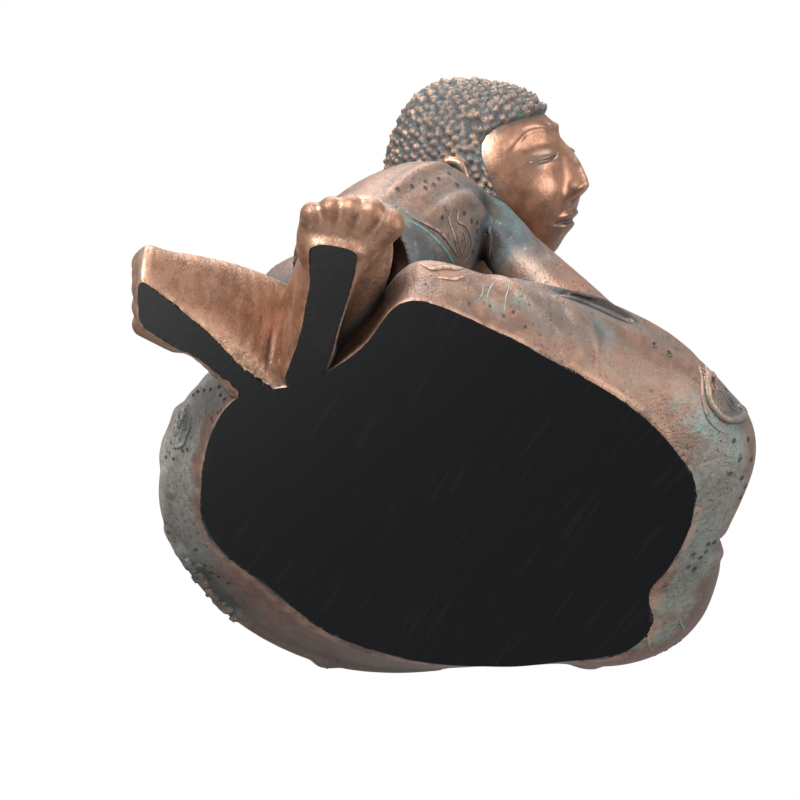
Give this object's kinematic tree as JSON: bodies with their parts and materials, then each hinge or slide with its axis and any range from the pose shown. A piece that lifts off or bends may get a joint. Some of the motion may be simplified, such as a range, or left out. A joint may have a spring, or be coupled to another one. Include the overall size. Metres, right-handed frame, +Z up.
{
  "type": "resin buddha statue",
  "caption": "Seated figure at rest with one knee raised and its head laid on the knee, cast in one piece with a flat underside, for standing on a shelf",
  "frame": {"origin": "on the flat underside, below the middle of the bounding box", "axes": "+Z up, the figure's chest faces -Y, the figure's own left side is +X"},
  "size_m": [0.242, 0.1944, 0.1682],
  "materials": {
    "copper_resin": "semi-gloss copper paint with verdigris wash in the recesses, gloss black painted underside"
  },
  "bodies": {
    "root": {"statue": "copper_resin"}
  },
  "joints": []
}
